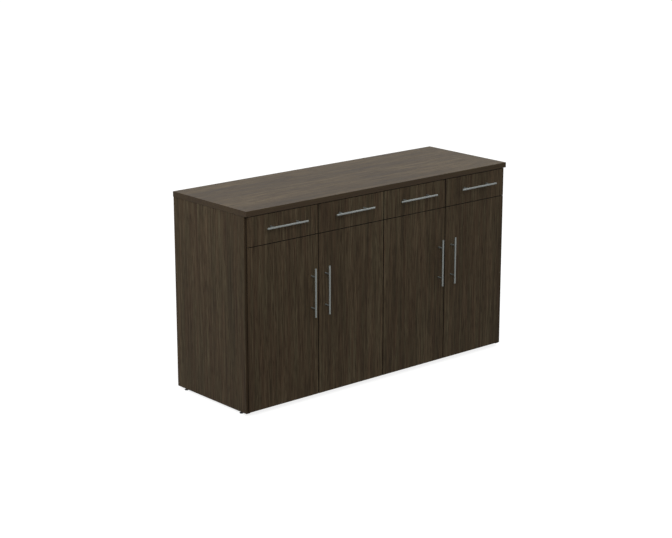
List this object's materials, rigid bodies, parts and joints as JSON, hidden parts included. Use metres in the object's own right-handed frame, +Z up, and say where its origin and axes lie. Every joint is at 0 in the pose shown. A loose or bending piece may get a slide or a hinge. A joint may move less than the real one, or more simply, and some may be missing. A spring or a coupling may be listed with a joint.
{
  "type": "office credenza",
  "caption": "Buffet-height office credenza in dark wood-grain laminate: a slab top over a row of drawers and paired doors, with round bar handles and levelling glides.",
  "frame": {"origin": "on the floor, under the middle of the box round the whole credenza, handles included", "axes": "+X to the right along the width, +Y to the back, +Z up; the doors and drawers face -Y"},
  "size_m": [1.8288, 0.6476, 1.0668],
  "materials": {
    "dark_laminate": "dark grey-brown wood-grain laminate, satin",
    "drawer_liner": "pale melamine, matt",
    "satin_bar": "satin nickel, brushed round the bar",
    "zinc_plate": "zinc-plated pressed steel",
    "black_nylon": "moulded nylon, matt"
  },
  "bodies": {
    "carcass": {"top_panel": "dark_laminate", "side_panel_left": "dark_laminate", "side_panel_right": "dark_laminate", "centre_divider": "dark_laminate", "bottom_panel": "dark_laminate", "back_panel": "dark_laminate", "drawer_deck_left": "dark_laminate", "drawer_deck_right": "dark_laminate", "drawer_partition_left": "dark_laminate", "drawer_partition_right": "dark_laminate", "shelf_left": "dark_laminate", "shelf_right": "dark_laminate", "glide_front_left": "black_nylon", "glide_front_right": "black_nylon", "glide_back_left": "black_nylon", "glide_back_right": "black_nylon", "hinge_arm_1_upper": "zinc_plate", "hinge_arm_1_lower": "zinc_plate", "slide_channel_1_left": "zinc_plate", "slide_channel_1_right": "zinc_plate", "hinge_arm_2_upper": "zinc_plate", "hinge_arm_2_lower": "zinc_plate", "slide_channel_2_left": "zinc_plate", "slide_channel_2_right": "zinc_plate", "hinge_arm_3_upper": "zinc_plate", "hinge_arm_3_lower": "zinc_plate", "slide_channel_3_left": "zinc_plate", "slide_channel_3_right": "zinc_plate", "hinge_arm_4_upper": "zinc_plate", "hinge_arm_4_lower": "zinc_plate", "slide_channel_4_left": "zinc_plate", "slide_channel_4_right": "zinc_plate"},
    "leaf_1": {"door_1": "dark_laminate", "door_handle_1": "satin_bar"},
    "leaf_2": {"door_2": "dark_laminate", "door_handle_2": "satin_bar"},
    "leaf_3": {"door_3": "dark_laminate", "door_handle_3": "satin_bar"},
    "leaf_4": {"door_4": "dark_laminate", "door_handle_4": "satin_bar"},
    "drawer_1": {"drawer_front_1": "dark_laminate", "drawer_box_1": "drawer_liner", "drawer_handle_1": "satin_bar", "slide_runner_1_left": "zinc_plate", "slide_runner_1_right": "zinc_plate"},
    "drawer_2": {"drawer_front_2": "dark_laminate", "drawer_box_2": "drawer_liner", "drawer_handle_2": "satin_bar", "slide_runner_2_left": "zinc_plate", "slide_runner_2_right": "zinc_plate"},
    "drawer_3": {"drawer_front_3": "dark_laminate", "drawer_box_3": "drawer_liner", "drawer_handle_3": "satin_bar", "slide_runner_3_left": "zinc_plate", "slide_runner_3_right": "zinc_plate"},
    "drawer_4": {"drawer_front_4": "dark_laminate", "drawer_box_4": "drawer_liner", "drawer_handle_4": "satin_bar", "slide_runner_4_left": "zinc_plate", "slide_runner_4_right": "zinc_plate"}
  },
  "joints": [
    {"name": "drawer_1_slide", "type": "slide", "parent": "carcass", "child": "drawer_1", "axis": [0, -1, 0], "range_m": [0, 0.375]},
    {"name": "drawer_2_slide", "type": "slide", "parent": "carcass", "child": "drawer_2", "axis": [0, -1, 0], "range_m": [0, 0.375]},
    {"name": "drawer_3_slide", "type": "slide", "parent": "carcass", "child": "drawer_3", "axis": [0, -1, 0], "range_m": [0, 0.375]},
    {"name": "drawer_4_slide", "type": "slide", "parent": "carcass", "child": "drawer_4", "axis": [0, -1, 0], "range_m": [0, 0.375]},
    {"name": "door_1_hinge", "type": "hinge", "parent": "carcass", "child": "leaf_1", "pos_m": [-0.8992, -0.2838, 0.4522], "axis": [0, 0, -1], "range_deg": [0, 110]},
    {"name": "door_2_hinge", "type": "hinge", "parent": "carcass", "child": "leaf_2", "pos_m": [-0.002, -0.2838, 0.4522], "axis": [0, 0, 1], "range_deg": [0, 82]},
    {"name": "door_3_hinge", "type": "hinge", "parent": "carcass", "child": "leaf_3", "pos_m": [0.002, -0.2838, 0.4522], "axis": [0, 0, -1], "range_deg": [0, 82]},
    {"name": "door_4_hinge", "type": "hinge", "parent": "carcass", "child": "leaf_4", "pos_m": [0.8992, -0.2838, 0.4522], "axis": [0, 0, 1], "range_deg": [0, 110]}
  ]
}
